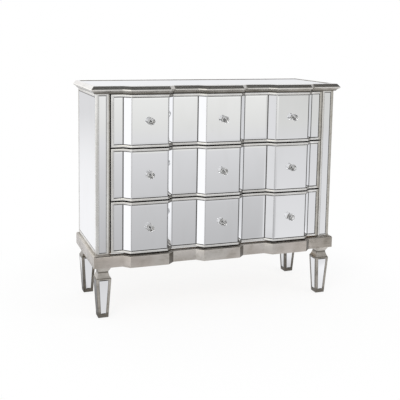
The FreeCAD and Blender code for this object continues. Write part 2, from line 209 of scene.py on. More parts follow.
def noise(place, scale, detail=3.0, stretch=None, distortion=0.0):
    """Cloudy noise from 0 to 1 with its features 1 / scale metres apart, stretched where that is given."""
    graph = place.graph
    if stretch:
        place = graph.node("ShaderNodeVectorMath", {"operation": "MULTIPLY"}, {0: place, 1: stretch})
    sockets = {"Vector": place, "Scale": scale, "Detail": detail, "Distortion": distortion}
    return graph.node("ShaderNodeTexNoise", {}, sockets)


def mark(graph, name):
    """A mark that was left on faces while they were made, from 0 to 1."""
    return graph.node("ShaderNodeAttribute", {"attribute_name": name}, output="Fac")


def bump(height, distance, strength=1.0):
    """Raise a surface by a height signal times a distance in metres."""
    return height.graph.node("ShaderNodeBump", {}, {
        "Height": height, "Distance": distance, "Strength": strength,
    })


def surface(graph, sockets):
    """End a finish in a Principled shader with these sockets."""
    shader = graph.node("ShaderNodeBsdfPrincipled", {}, sockets)
    graph.node("ShaderNodeOutputMaterial", {}, {"Surface": shader})


# %% [markdown]
# ### Mirror glass
# A mirror is metal behind glass. Seen from a step away the silver does the work, so the shader is a
# clean metal with hardly any roughness, faint cleaning smears and a slow waviness of the glass. Each
# facet is a separate plate, and along its ground edge the silver stops and the dark backing shows,
# with painted shade of the joint between plates darkening it further.

# %% Mirror
silver = (0.935, 0.94, 0.95)
hazed_silver = (0.90, 0.905, 0.91)
# Dark backing along the ground edge, also used as painted shade in the joints between plates
edge_backing_and_shade = (0.07, 0.066, 0.06)


def make_mirror():
    material, graph, place = new_finish("mirror")
    smear = noise(place, 14.0, 4.0, (1.0, 1.0, 0.35), 0.6)
    haze = smear.between(0.45, 0.85)
    wave = noise(place, 3.5, 1.0)
    # The ground edge mark darkens the plate as dark backing and as painted shade of the joint
    ground_and_shade = mark(graph, "ground_edge_and_shade")
    surface(graph, {
        "Base Color": mixed(ground_and_shade, mixed(haze, silver, hazed_silver), edge_backing_and_shade),
        "Metallic": 1.0,
        "Roughness": 0.012 + haze * 0.02 + ground_and_shade * 0.35,
        "Normal": bump(wave, 0.0006, 0.15),
    })
    return material


mirror = make_mirror()
print("made", mirror.name)

# %% [markdown]
# ### Silver leaf
# Thin leaf is laid in squares over primed wood, toned with a brown glaze and sealed. It shines like
# metal, but softly. The glaze leaves clouds, streaks and specks, the squares lap in faint lines, the
# brush leaves a grain, and the arrises are rubbed to another tone, lighter as a painted highlight except
# on the legs; the top's nose gets a painted highlight too. Painted shade is added to the glaze in
# hollows, under the top, along gaps, on the back legs and on chosen faces that look right, left or level,
# and where the sum lies thickest it turns to a dark stain. A clear coat gives the sheen that level faces
# show at a low angle. The frames of the body are bright, the plinth is toned down, and the legs are
# toned nearly to bronze with dark worn arrises. Faces that are marked bare show wood.

# %% Silver leaf
leaf_square = 0.085
lap_width = 0.0016
# Dark stain of the thickest glaze, also used as painted shade on marked faces
dark_stain_and_shade = (0.085, 0.073, 0.058)
bare_light = (0.55, 0.40, 0.26)
bare_dark = (0.44, 0.31, 0.19)


def make_leaf(name, light, warm, glaze_and_shade_colour, rubbed_and_highlight_colour, glazing, roughness, metal, glaze_shade_and_highlight):
    """Leaf of two tones under a glazing, to which a function of X, Y and Z adds more glazing and painted
    shade, or lightens it as a painted highlight.
    """
    material, graph, place = new_finish(name)
    cloud = noise(place, 16.0, 5.0, distortion=0.4)
    drift = noise(place, 5.0, 2.0)
    speck = noise(place, 210.0, 2.0)
    brush = noise(place, 60.0, 3.0, (1.0, 1.0, 9.0))
    streak = noise(place, 30.0, 4.0, (1.0, 1.0, 4.0))
    x = graph.node("ShaderNodeSeparateXYZ", {}, {"Vector": place}, "X")
    along = (x + x.other("Y") + drift * 0.02) / leaf_square
    lap = along.math("PINGPONG", along, 0.5).between(0.0, lap_width / leaf_square, 1.0, 0.0)
    worn = cloud.between(0.42, 0.72) + streak.between(0.50, 0.72) * 0.6
    glaze_and_shade = worn * glazing + speck.between(0.60, 0.74) * 0.16 + lap * 0.08
    # Painted shade from the face marks and from the placed function joins the glaze here
    glaze_and_shade = glaze_and_shade + mark(graph, "underside_and_pocket_shade") * 0.75 + glaze_shade_and_highlight(x, x.other("Y"), x.other("Z"))
    # The dark stain takes the thickest glaze and the faces marked for painted shade
    stain_and_shade = glaze_and_shade.math("MAXIMUM", glaze_and_shade - 1.0, mark(graph, "painted_shade"))
    stain_and_shade = stain_and_shade.math("MINIMUM", stain_and_shade, 1.0)
    glaze_and_shade = glaze_and_shade.math("MINIMUM", glaze_and_shade, 1.0)
    tone = mixed(drift.between(0.35, 0.65), light, warm)
    # Rubbed arrises: darker wear on the legs, a lighter painted highlight elsewhere and on the top's nose
    rubbed_and_highlight = mark(graph, "rubbed_and_highlight") * speck.between(0.35, 0.60, 1.0, 0.35)
    leafed = mixed(stain_and_shade, mixed(rubbed_and_highlight, mixed(glaze_and_shade, tone, glaze_and_shade_colour), rubbed_and_highlight_colour), dark_stain_and_shade)
    bare = mark(graph, "bare")
    covered = 1.0 - bare
    surface(graph, {
        "Base Color": mixed(bare, leafed, mixed(brush.between(0.3, 0.7), bare_light, bare_dark)),
        "Metallic": (metal - glaze_and_shade * 0.2 - stain_and_shade * 0.3) * covered,
        "Roughness": roughness + glaze_and_shade * 0.2 + brush * 0.06 + bare * 0.3,
        "Coat Weight": covered * 0.45,
        "Coat Roughness": 0.12,
        "Normal": bump(brush * 0.6 + cloud * 0.8, 0.0003, 0.35),
    })
    return material


# Heights on a leg, places across and behind the front, and the height at which the top begins
shaft_top = 0.1605
neck_foot = 0.182
neck_top = 0.187
drawer_half = 0.447
stile_inner = 0.451
outer_frame = 0.4935
stile_back = -0.121
body_top = 0.875


def shade_and_glaze_on_leg(x, y, z):
    """None at the flare, some below it, more towards the foot and heavy on the foot, painted shade in the
    neck and at the ledge, and painted shade over the back legs.
    """
    below_flare = z.between(neck_top - 0.001, neck_top + 0.001, 0.30, 0.0)
    downwards = z.between(0.03, 0.15, 0.2, 0.0)
    # Painted shade in the recessed neck and at the ledge under it
    neck = z.within((neck_foot - 0.0005, neck_foot + 0.0005), (neck_top - 0.0005, neck_top + 0.0005), 0.6)
    ledge = z.within((shaft_top - 0.0015, shaft_top - 0.0003), (shaft_top + 0.001, shaft_top + 0.0025), 0.6)
    foot = z.between(0.018, 0.026, 0.5, 0.0)
    # The last term is painted shade over the back legs
    return below_flare + downwards + neck + ledge + foot + y.between(-0.05, 0.05, 0.0, 0.4)


def shade_and_glaze_on_frame(x, y, z):
    """More on the stiles than on the drawers, with painted shade along the upright gaps, stronger on the
    right, and on the right lips and right frames.
    """
    wide = x.math("ABSOLUTE", x)
    stiles = wide.between(drawer_half, stile_inner + 0.001, 0.0, 0.12)
    rise = (stile_inner - 0.002, stile_inner - 0.001)
    fall = (stile_inner + 0.0035, stile_inner + 0.005)
    # Painted shade along the upright gaps, stronger on the right
    gaps = wide.within(rise, fall, 1.7) * x.between(-0.1, 0.1, 0.6, 1.0)
    rise = (drawer_half - 0.010, drawer_half - 0.009)
    fall = (drawer_half + 0.0005, drawer_half + 0.0015)
    # Painted shade on the right lips of the drawers and on the right frames
    right_lips = x.within(rise, fall, 0.8)
    right_frame = x.between(outer_frame - 0.001, outer_frame, 0.0, 0.7)
    on_front = y.between(stile_back - 0.004, stile_back + 0.001, 1.0, 0.0)
    return stiles + gaps + (right_lips + right_frame) * on_front


def shade_and_glaze_on_plinth(x, y, z):
    """Heavier round the sides, with painted shade added at the right end."""
    sides = x.math("ABSOLUTE", x).between(0.40, 0.50, 0.0, 0.35)
    # The second term is painted shade at the right end
    return sides + x.between(0.395, 0.410, 0.0, 0.45)


def shade_and_highlight_under_top(x, y, z):
    """Painted shade where the cove meets the body, and a painted highlight between the nose and the cove.
    """
    # A painted highlight between the nose and the cove
    painted_highlight_band = z.within((body_top + 0.0085, body_top + 0.010), (body_top + 0.012, body_top + 0.0135))
    # Painted shade where the cove meets the body, less the painted highlight
    return z.between(body_top + 0.001, body_top + 0.004, 0.8, 0.0) - painted_highlight_band * 0.5


body_leaf = make_leaf(
    "silver_leaf_body",
    light=(0.85, 0.845, 0.825), warm=(0.78, 0.765, 0.73),
    glaze_and_shade_colour=(0.42, 0.395, 0.345), rubbed_and_highlight_colour=(0.91, 0.905, 0.885),
    glazing=0.26, roughness=0.22, metal=0.95, glaze_shade_and_highlight=shade_and_glaze_on_frame,
)
top_leaf = make_leaf(
    "silver_leaf_top",
    light=(0.84, 0.82, 0.775), warm=(0.76, 0.72, 0.66),
    glaze_and_shade_colour=(0.15, 0.135, 0.11), rubbed_and_highlight_colour=(0.95, 0.93, 0.88),
    glazing=0.20, roughness=0.10, metal=0.95, glaze_shade_and_highlight=shade_and_highlight_under_top,
)
plinth_leaf = make_leaf(
    "silver_leaf_plinth",
    light=(0.64, 0.61, 0.57), warm=(0.55, 0.50, 0.455),
    glaze_and_shade_colour=(0.31, 0.28, 0.24), rubbed_and_highlight_colour=(0.70, 0.66, 0.59),
    glazing=0.44, roughness=0.27, metal=0.97, glaze_shade_and_highlight=shade_and_glaze_on_plinth,
)
leg_leaf = make_leaf(
    "silver_leaf_legs",
    light=(0.60, 0.57, 0.53), warm=(0.51, 0.475, 0.43),
    glaze_and_shade_colour=(0.13, 0.117, 0.095), rubbed_and_highlight_colour=(0.15, 0.135, 0.11),
    glazing=0.36, roughness=0.26, metal=0.6, glaze_shade_and_highlight=shade_and_glaze_on_leg,
)
print("made", body_leaf.name, top_leaf.name, plinth_leaf.name, leg_leaf.name)

# %% [markdown]
# ### Crystal and plated metal
# The knobs are cut from clear crystal on a small plated foot. Crystal needs no colour of its own: it
# bends the light of the room, and a trace of unevenness in its polish keeps the facets lively. What
# shows through the middle of the cut is its seat, painted as a bright cup round a dark centre at the
# end of the screw: a painted highlight round painted shade.

# %% Crystal, plating, steel and nylon


def make_crystal():
    material, graph, place = new_finish("crystal")
    polish = noise(place, 300.0, 2.0)
    surface(graph, {
        "Base Color": mixed(polish, (0.97, 0.975, 0.98), (1.0, 1.0, 1.0)),
        "Roughness": polish * 0.03,
        "IOR": 1.47,
        "Transmission Weight": 1.0,
    })
    return material


def make_metal(name, colour, dull, roughness, painted_seat=None):
    """Metal with slow tarnish and fine turning marks. A function may paint highlight and shade under a
    crystal.
    """
    material, graph, place = new_finish(name)
    tarnish = noise(place, 120.0, 3.0).between(0.45, 0.75)
    scratch = noise(place, 900.0, 2.0)
    tone = mixed(tarnish, colour, dull)
    if painted_seat:
        tone = painted_seat(tone, graph.node("ShaderNodeSeparateXYZ", {}, {"Vector": place}, "X"))
    surface(graph, {
        "Base Color": tone,
        "Metallic": 1.0,
        "Roughness": roughness + tarnish * 0.12,
        "Normal": bump(scratch, 0.00005, 0.4),
    })
    return material


def make_nylon():
    material, graph, place = new_finish("glide_nylon")
    grain = noise(place, 700.0, 2.0)
    surface(graph, {
        "Base Color": mixed(grain, (0.16, 0.13, 0.105), (0.21, 0.175, 0.14)),
        "Roughness": 0.45 + grain * 0.15,
        "Normal": bump(grain, 0.0001, 0.5),
    })
    return material


# A painted dark centre and a painted bright cup stand for what shows through the crystal
painted_dark_centre = (0.03, 0.03, 0.03)
dark_centre_rim = (0.0020, 0.0028)
painted_bright_cup = (0.88, 0.88, 0.87)
cup_depth = (0.0002, 0.0007)


def painted_knob_seat(tone, x):
    """Under each crystal, a painted highlight round a painted dark centre at the end of the screw."""
    low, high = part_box("middle_drawer_knob_bases")
    knob_pitch = high.x - (high.z - low.z) / 2
    drawer_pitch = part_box("top_drawer_knob_bases")[1].z - high.z
    above = x.other("Z") - (low.z + high.z) / 2
    across = x.math("PINGPONG", x, knob_pitch / 2)
    up = above.math("PINGPONG", above, drawer_pitch / 2)
    reach = up.math("SQRT", across * across + up * up)
    # Painted highlight round painted shade
    painted_cup = mixed(reach.between(*dark_centre_rim), painted_dark_centre, painted_bright_cup)
    at_front = x.other("Y").between(low.y + cup_depth[0], low.y + cup_depth[1], 1.0, 0.0)
    return mixed(at_front, tone, painted_cup)


crystal = make_crystal()
plating = make_metal("knob_plating", (0.40, 0.39, 0.37), (0.22, 0.21, 0.20), 0.20, painted_knob_seat)
steel = make_metal("zinc_steel", (0.56, 0.57, 0.58), (0.38, 0.38, 0.37), 0.32)
nylon = make_nylon()
print("made", crystal.name, plating.name, steel.name, nylon.name)

# %% [markdown]
# ### Bare wood
# Inside, the carcass and the drawer boxes are plain pale hardwood, and the thin panels are plywood.
# Grain is noise drawn out along the board, with rings that wander across it. A board is cut along
# its length, so one function takes the direction of the grain. The rails that show through the gaps
# between the drawers are coloured nearly black as painted shade, so the gaps read as dark lines.

# %% Wood
pore_colour = (0.26, 0.17, 0.10)


def make_wood(name, light, dark, stretch, across):
    """Wood whose grain runs along the axis that stretch shortens."""
    material, graph, place = new_finish(name)
    warp = noise(place, 2.2, 2.0, stretch)
    position = graph.node("ShaderNodeSeparateXYZ", {}, {"Vector": place}, across)
    phase = position * 95.0 + warp * 9.0
    ring = phase.math("SINE", phase) * 0.5 + 0.5
    fibre = noise(place, 260.0, 4.0, stretch)
    pore = noise(place, 900.0, 2.0, stretch).between(0.62, 0.72)
    figure = ring * 0.35 + fibre * 0.65
    surface(graph, {
        "Base Color": mixed(pore * 0.5, mixed(figure, light, dark), pore_colour),
        "Roughness": 0.52 + fibre * 0.16,
        "Normal": bump(fibre * 0.7 - pore, 0.00025, 0.5),
    })
    return material


grain_y = (1.0, 0.06, 1.0)
grain_x = (0.06, 1.0, 1.0)
hardwood = ((0.66, 0.50, 0.34), (0.52, 0.37, 0.235))
wood_along_y = make_wood("bare_wood_lengthwise", *hardwood, grain_y, "Z")
wood_along_x = make_wood("bare_wood_crosswise", *hardwood, grain_x, "Z")
# Rails coloured nearly black as painted shade in the gaps between drawers
gap_shade_rail_wood = make_wood("rails_painted_gap_shade", (0.040, 0.034, 0.028), (0.022, 0.019, 0.016), grain_x, "Z")
plywood = make_wood("panel_plywood", (0.70, 0.55, 0.385), (0.60, 0.45, 0.30), grain_x, "Y")
print("made", wood_along_y.name, wood_along_x.name, gap_shade_rail_wood.name, plywood.name)

# %% [markdown]
# ## Dressing the construction
# Real wood has no perfectly sharp edge. Each board of the frame is copied, its triangles are joined
# into whole faces, and its long outer edges get a very small rounded bevel, which the leaf finish
# rubs to another tone, lighter as a painted highlight except on the legs. Short edges, such as those
# round a screw hole, stay as they are. Faces are marked by their direction: the level edges of the
# drawer fronts, the cants that face right and, more weakly, the left faces of the legs get painted
# shade, and the backs of the drawer fronts stay bare.
# A copy stands for its node, so the construction keeps its place under it.

# %% Helpers that finish a piece
same_point = 1e-6
same_plane = math.radians(0.3)


def add_piece(name, mesh, material, body, replaced=()):
    """Put a finished mesh in the scene on its body in one material, and hide the nodes it replaces."""
    piece = bpy.data.objects.new(name, mesh)
    bpy.context.scene.collection.objects.link(piece)
    mesh.materials.clear()
    mesh.materials.append(material)
    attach(piece, body)
    if replaced:
        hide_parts(*replaced)
    return piece


def whole_faces(node):
    """The mesh of a node with its loose triangles merged into flat faces."""
    shape = bmesh.new()
    shape.from_mesh(nodes[node].data)
    bmesh.ops.remove_doubles(shape, verts=shape.verts, dist=same_point)
    bmesh.ops.dissolve_limit(shape, angle_limit=same_plane, verts=shape.verts, edges=shape.edges)
    return shape


def as_mesh(shape, name, smooth_below=28.0):
    """Turn a worked shape into a mesh, smooth across edges flatter than an angle in degrees."""
    mesh = bpy.data.meshes.new(name)
    shape.to_mesh(mesh)
    shape.free()
    mesh.shade_smooth()
    mesh.set_sharp_from_angle(angle=math.radians(smooth_below))
    return mesh


def body_of(node):
    return nodes[node]["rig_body"]


def faces_direction(direction, least):
    """A test for faces that look along a direction, with a least cosine of the angle between them."""
    return lambda face: face.normal.dot(Vector(direction)) > least


arris = 0.0007
leg_arris = 0.0018
shortest_eased = 0.004
flattest_eased = math.radians(35)
same_direction = 0.97


def eased(node, material, width=arris, marks=()):
    """Replace a board by a copy with softened edges, and mark the faces that look along a direction."""
    shape = whole_faces(node)
    layers = {kind: shape.faces.layers.float.new(kind) for kind in ("rubbed_and_highlight", "painted_shade", "bare")}
    for kind, direction, amount in marks:
        for face in filter(faces_direction(direction, same_direction), shape.faces):
            face[layers[kind]] = amount
    edges = []
    for edge in shape.edges:
        outer = len(edge.link_faces) == 2 and edge.calc_face_angle_signed() > flattest_eased
        if outer and edge.calc_length() > shortest_eased:
            edges.append(edge)
    made = bmesh.ops.bevel(
        shape, geom=edges, offset=width, offset_type="OFFSET", segments=2, profile=0.5,
        affect="EDGES", clamp_overlap=True,
    )
    # Bevel faces are rubbed, lighter as a painted highlight except on the legs
    for face in made["faces"]:
        face[layers["rubbed_and_highlight"]] = 1.0
        face[layers["painted_shade"]] = 0.0
        face[layers["bare"]] = 0.0
    piece = add_piece("eased_" + node, as_mesh(shape, node), material, body_of(node), [node])
    return piece, len(edges)


# %% Leafed boards, legs and drawer fronts
legs = ["front_left_leg", "front_right_leg", "back_left_leg", "back_right_leg"]
plinth = ["plinth_front", "plinth_left", "plinth_right", "plinth_back"]
body = ["left_side_panel", "right_side_panel", "left_stile", "right_stile"]
fronts = [drawer + "_front" for drawer in drawers]
right_cant = (math.sqrt(0.5), -math.sqrt(0.5), 0)
# Right cants and the level edges of the fronts, which show in the gaps, get painted shade
front_marks = (
    ("painted_shade", right_cant, 0.75),
    ("painted_shade", (0, 0, 1), 1.0),
    ("painted_shade", (0, 0, -1), 1.0),
    ("bare", (0, 1, 0), 1.0),
)
# Right cants of the plinth get painted shade
plinth_marks = (("painted_shade", right_cant, 1.0),)
# Left faces of the legs get weaker painted shade
leg_marks = (("painted_shade", (-1, 0, 0), 0.5),)
for leaf, group, width, marks in (
    (body_leaf, body, arris, ()),
    (body_leaf, fronts, arris, front_marks),
    (plinth_leaf, plinth, arris, plinth_marks),
    (leg_leaf, legs, leg_arris, leg_marks),
):
    for node in group:
        piece, count = eased(node, leaf, width, marks)
        print(piece.name, count, "edges eased")

# %% Bare wood of the carcass and the drawer boxes
lengthwise = ["left_runners", "right_runners"]
rails = ["lower_rail", "upper_rail", "top_rail"]
crosswise = ["bottom_board", "top_back_rail", "drawer_stops", "corner_blocks"]
panels = ["back_panel"]
for drawer in drawers:
    lengthwise += [drawer + "_left_side", drawer + "_right_side"]
    crosswise.append(drawer + "_back")
    panels.append(drawer + "_bottom")
for material, group, slot in (
    (wood_along_y, lengthwise, "bare_wood"),
    (wood_along_x, crosswise, "bare_wood"),
    (gap_shade_rail_wood, rails, "bare_wood"),
    (plywood, panels, "panel_wood"),
):
    for node in group:
        eased(node, material)
    print(material.name, "on", len(group), "nodes")

# %% [markdown]
# ## Mirror plates
# The plates keep the exact shape of the construction, with their wide bevels and mitred joints. A
# plate's ground edge and painted shade of its joint draw the thin dark lines between facets, so a
# narrow band along each outline is inset and marked, and the finish darkens it. The darkness of the
# upright bands on the front is painted light and painted shade set by place: those at the left end of
# a plate row, at the left of a block and at the cant to the right of the left block catch light and stay
# faint. The left stile's other band is a little darker, and the rest are dark with painted shade.

# %% Mirror plates
ground_band = 0.0025
block_width = 0.147
recess_width = 0.102
cant = 0.026
block_pitch = block_width + 2 * cant + recess_width
edge_zone = 0.006
plate_facing = 0.6
upright_share = 0.7
# How dark each kind of upright line is, as painted light and painted shade by its place
light_line = 0.25
faint_line = 0.4
middling_line = 0.6
dark_line = 0.9
full_line = 1.0


def upright_painted_shade(node, place):
    """How dark the painted shade of the upright edge line is at a place on the front."""
    low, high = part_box(node)
    if place.x < low.x + edge_zone:
        return light_line
    if "left_stile" in node:
        return middling_line
    if place.x > high.x - edge_zone or "stile" in node:
        return full_line
    bright_cant = block_width / 2 - block_pitch
    if bright_cant - edge_zone < place.x < bright_cant + cant + edge_zone:
        return faint_line
    if place.y > low.y + cant / 2:
        return dark_line
    block = round(place.x / block_pitch) * block_pitch
    return light_line if place.x < block else dark_line


def silvered(node, outward):
    """Replace mirror plates by copies whose front faces have a marked band along their outline."""
    shape = whole_faces(node)
    # This mark is the ground edge together with painted shade of the joint
    ground_and_shade = shape.faces.layers.float.new("ground_edge_and_shade")
    fronts = [face for face in shape.faces if outward(face)]
    bmesh.ops.inset_region(
        shape, faces=fronts, thickness=ground_band, use_even_offset=True, use_boundary=True,
    )
    kept = set(fronts)
    band = [face for face in shape.faces if outward(face) and face not in kept]
    on_front = "drawer" in node or "stile" in node
    for face in band:
        longest = max(face.edges, key=lambda edge: edge.calc_length())
        run = longest.verts[1].co - longest.verts[0].co
        upright = abs(run.z) > upright_share * run.length
        # Upright bands on the front take their darkness by place, as painted light and painted shade
        if on_front and upright:
            face[ground_and_shade] = upright_painted_shade(node, longest.verts[0].co)
        else:
            face[ground_and_shade] = full_line
    mesh = as_mesh(shape, node, smooth_below=1.0)
    add_piece("silvered_" + node, mesh, mirror, body_of(node), [node])
    return len(band)


plates = {drawer + "_mirrors": (0, -1, 0) for drawer in drawers}
plates.update({
    "left_stile_mirror": (0, -1, 0),
    "right_stile_mirror": (0, -1, 0),
    "left_side_mirror": (-1, 0, 0),
    "right_side_mirror": (1, 0, 0),
    "top_mirror": (0, 0, 1),
})
for node, direction in plates.items():
    print(node, silvered(node, faces_direction(direction, plate_facing)), "ground edge faces")

# %% Leg inlays, whose plates look out on all four sides of each leg
inlay_facing = 0.9


def away_from_legs(row):
    """A test for faces that look away from the axis of the nearer leg in a row of two."""
    axes = []
    for side in ("left", "right"):
        low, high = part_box(row + "_" + side + "_leg")
        axes.append((low + high) / 2)

    def test(face):
        centre = face.calc_center_median()
        axis = min(axes, key=lambda point: abs(point.x - centre.x))
        outward = Vector((centre.x - axis.x, centre.y - axis.y, 0)).normalized()
        return face.normal.dot(outward) > inlay_facing

    return test


for row in ("front", "back"):
    print(row, "leg inlays", silvered(row + "_leg_mirrors", away_from_legs(row)), "ground edge faces")

# %% [markdown]
# ## The moulded top
# The top's edge is one section carried along a line that steps in and out with the drawers and turns
# the two front corners. At each corner the section is stretched along the mitre. Geometry Nodes do
# this as a grid: one direction counts the corners of the line, the other the points of the section,
# and each grid point is a corner, moved outwards along its mitre and up.

# %% Helpers for shape trees


def new_tree(name, inputs):
    """An empty geometry tree with named inputs, given as (name, socket type, default)."""
    tree = bpy.data.node_groups.new(name, "GeometryNodeTree")
    graph = Graph(tree)
    tree.interface.new_socket("Geometry", in_out="INPUT", socket_type="NodeSocketGeometry")
    for label, kind, default in inputs:
        socket = tree.interface.new_socket(label, in_out="INPUT", socket_type=kind)
        if default is not None:
            socket.default_value = default
    tree.interface.new_socket("Geometry", in_out="OUTPUT", socket_type="NodeSocketGeometry")
    return graph, graph.node("NodeGroupInput", output="Geometry")


def end_tree(shape, material):
    """Close a tree with real geometry in one material."""
    real = shape.graph.node("GeometryNodeRealizeInstances", {}, {"Geometry": shape})
    finished = shape.graph.node("GeometryNodeSetMaterial", {}, {"Geometry": real, "Material": material})
    shape.graph.node("NodeGroupOutput", {}, {"Geometry": finished})


def grow(name, graph, points, vectors=(), values=()):
    """Run a tree on loose points that carry named vectors, and give the result as a plain mesh."""
    seed = bpy.data.meshes.new(name + "_seed")
    seed.from_pydata(points, [], [])
    for label, per_point in dict(vectors).items():
        layer = seed.attributes.new(label, "FLOAT_VECTOR", "POINT")
        for item, vector in zip(layer.data, per_point):
            item.vector = vector
    carrier = bpy.data.objects.new(name + "_seed", seed)
    bpy.context.scene.collection.objects.link(carrier)
    modifier = carrier.modifiers.new(name, "NODES")
    modifier.node_group = graph.tree
    for item in graph.tree.interface.items_tree:
        if item.in_out == "INPUT" and item.name in dict(values):
            modifier[item.identifier] = dict(values)[item.name]
    evaluated = carrier.evaluated_get(bpy.context.evaluated_depsgraph_get())
    mesh = bpy.data.meshes.new_from_object(evaluated)
    mesh.name = name
    carrier.modifiers.remove(modifier)
    bpy.data.objects.remove(carrier)
    return mesh


print("tree helpers ready")

# %% The line of the top
front_overhang = 0.014


def mitres(line):
    """For each corner of an open plan line, how far it moves when the line moves outwards by 1."""
    normals = []
    for start, end in zip(line, line[1:]):
        along = (end - start).normalized()
        normals.append(Vector((along.y, -along.x, 0)))
    moves = []
    for before, after in zip(normals[:1] + normals, normals + normals[-1:]):
        moves.append((before + after) / (1 + before.dot(after)))
    return moves


def stepped_line(half_width, recess_y, block_y, back_y):
    """Plan line from the back left corner round the stepped front to the back right corner."""
    line = [Vector((-half_width, recess_y, 0))]
    for centre in (-1, 0, 1):
        x = centre * block_pitch
        line.append(Vector((x - block_width / 2 - cant, recess_y, 0)))
        line.append(Vector((x - block_width / 2, block_y, 0)))
        line.append(Vector((x + block_width / 2, block_y, 0)))
        line.append(Vector((x + block_width / 2 + cant, recess_y, 0)))
    line.append(Vector((half_width, recess_y, 0)))
    moved = [corner + move * front_overhang for corner, move in zip(line, mitres(line))]
    return [Vector((-half_width, back_y, 0))] + moved + [Vector((half_width, back_y, 0))]


top_low, top_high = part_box("top_board")
drawer_face = top_low.y + front_overhang
top_line = stepped_line(top_high.x, drawer_face + cant, drawer_face, top_high.y)
print("the top turns", len(top_line) - 2, "corners")

# %% The section of the top
edge_inset = 0.0105
under_inset = 0.014
nose_depth = 0.002
cove_rise = 0.0015
nose_low = 0.37
nose_high = 0.64
arc_points = 10


def bowed(start, end, rise):
    """Points of an arc from start to end that swells to the left of its travel by rise."""
    chord = end - start
    left = Vector((-chord.y, chord.x)).normalized()
    radius = (chord.length ** 2 / 4 + rise ** 2) / (2 * abs(rise))
    centre = (start + end) / 2 + left * (rise - math.copysign(radius, rise))
    half = math.asin(chord.length / 2 / radius)
    middle = left * math.copysign(1, rise)
    side = chord.normalized()
    points = []
    for k in range(arc_points + 1):
        turn = half * (2 * k / arc_points - 1)
        points.append(centre + (middle * math.cos(turn) + side * math.sin(turn)) * radius)
    return points


thickness = top_high.z - top_low.z
under = Vector((-under_inset, top_low.z))
low = Vector((-nose_depth, top_low.z + nose_low * thickness))
high = Vector((-nose_depth, top_low.z + nose_high * thickness))
section = bowed(under, low, cove_rise) + bowed(low, high, -nose_depth)[1:]
section.append(Vector((-edge_inset, top_high.z)))
print("the section has", len(section), "points")

# %% The moulding tree


def point_count(shape):
    return shape.graph.node("GeometryNodeAttributeDomainSize", {}, {"Geometry": shape}, "Point Count")


def sampled(shape, vector, index):
    """The vector that one point of a shape carries."""
    sockets = {"Geometry": shape, "Value": vector, "Index": index}
    return shape.graph.node("GeometryNodeSampleIndex", {"data_type": "FLOAT_VECTOR"}, sockets)


def moulding_tree(material):
    """Carry a section along mitred corners. Its points come from a second object."""
    graph, corners = new_tree("mitred_moulding", [("Section", "NodeSocketObject", None)])
    chosen = {"Object": corners.other("Section")}
    section_shape = graph.node("GeometryNodeObjectInfo", {}, chosen, "Geometry")
    section_count = point_count(section_shape)
    counts = {"Vertices X": point_count(corners), "Vertices Y": section_count}
    grid = graph.node("GeometryNodeMeshGrid", {}, counts, "Mesh")
    index = graph.node("GeometryNodeInputIndex", output="Index")
    row = index.math("FLOOR", (index + 0.5) / section_count)
    column = index - row * section_count
    position = graph.node("GeometryNodeInputPosition", output="Position")
    vector = {"data_type": "FLOAT_VECTOR"}
    mitre = graph.node("GeometryNodeInputNamedAttribute", vector, {"Name": "mitre"}, "Attribute")
    corner = sampled(corners, position, row)
    move = sampled(corners, mitre, row)
    point = sampled(section_shape, position, column)
    outwards = graph.node("ShaderNodeSeparateXYZ", {}, {"Vector": point}, "X")
    rise = graph.node("ShaderNodeCombineXYZ", {}, {"Z": outwards.other("Z")})
    sockets = {0: move, 1: outwards, 2: corner}
    moved = graph.node("ShaderNodeVectorMath", {"operation": "MULTIPLY_ADD"}, sockets)
    place = graph.node("ShaderNodeVectorMath", {"operation": "ADD"}, {0: moved, 1: rise})
    end_tree(graph.node("GeometryNodeSetPosition", {}, {"Geometry": grid, "Position": place}), material)
    return graph


section_mesh = bpy.data.meshes.new("top_section")
section_mesh.from_pydata([(point.x, 0, point.y) for point in section], [], [])
section_object = bpy.data.objects.new("top_section", section_mesh)
bpy.context.scene.collection.objects.link(section_object)
moulding = grow(
    "top_moulding",
    moulding_tree(top_leaf),
    top_line,
    vectors={"mitre": mitres(top_line)},
    values={"Section": section_object},
)
bpy.data.objects.remove(section_object)
print("moulding has", len(moulding.vertices), "points and", len(moulding.polygons), "faces")

# %% Closing the top round its mirror
mirror_clearance = 0.0004
pocket_margin = 0.001
pocket_wall_slope = 0.5
downward_slope = -0.2
nose_slope = 0.45


